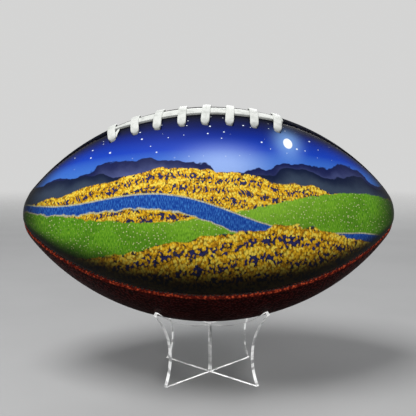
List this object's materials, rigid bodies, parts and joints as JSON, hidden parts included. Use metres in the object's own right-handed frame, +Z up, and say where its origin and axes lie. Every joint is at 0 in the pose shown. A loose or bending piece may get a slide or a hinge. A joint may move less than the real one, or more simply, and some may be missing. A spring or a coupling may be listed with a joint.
{
  "type": "football on display stand",
  "caption": "Laced oval leather ball with a printed front panel, lying level on a clear stand of crossed, slotted plates with hollow cradles.",
  "frame": {"origin": "on the table, under the crossing of the stand's plates", "axes": "+X along the ball, +Y away from the printed panel, +Z up"},
  "size_m": [0.285, 0.164, 0.2081],
  "materials": {
    "clear_acrylic": "clear, polished edges",
    "printed_leather": "printed, smooth satin",
    "brown_leather": "pebbled, satin",
    "white_lace": "smooth, slightly worn",
    "seam_stitching": "waxed thread",
    "lining_cloth": "woven cloth",
    "bladder_rubber": "matt",
    "valve_rubber": "matt"
  },
  "bodies": {
    "stand_lower": {"stand_plate_lower": "clear_acrylic"},
    "stand_upper": {"stand_plate_upper": "clear_acrylic"},
    "ball": {"front_panel": "printed_leather", "lower_front_panel": "brown_leather", "lower_rear_panel": "brown_leather", "rear_panel": "brown_leather", "front_lining": "lining_cloth", "lower_front_lining": "lining_cloth", "lower_rear_lining": "lining_cloth", "rear_lining": "lining_cloth", "bladder": "bladder_rubber", "valve_housing": "valve_rubber", "valve_plug": "valve_rubber", "lace_tongue": "lining_cloth", "lace_band": "white_lace", "cross_lace_1": "white_lace", "cross_lace_2": "white_lace", "cross_lace_3": "white_lace", "cross_lace_4": "white_lace", "cross_lace_5": "white_lace", "cross_lace_6": "white_lace", "cross_lace_7": "white_lace", "cross_lace_8": "white_lace", "seam_thread_front": "seam_stitching", "seam_thread_bottom": "seam_stitching", "seam_thread_rear": "seam_stitching", "seam_thread_top_left": "seam_stitching", "seam_thread_top_right": "seam_stitching"}
  },
  "joints": [
    {"name": "plate_lift", "type": "slide", "parent": "stand_lower", "child": "stand_upper", "axis": [0, 0, 1], "range_m": [0, 0.04]},
    {"name": "ball_lift", "type": "slide", "parent": "stand_upper", "child": "ball", "axis": [0, 0, 1], "range_m": [0, 0.1]}
  ]
}
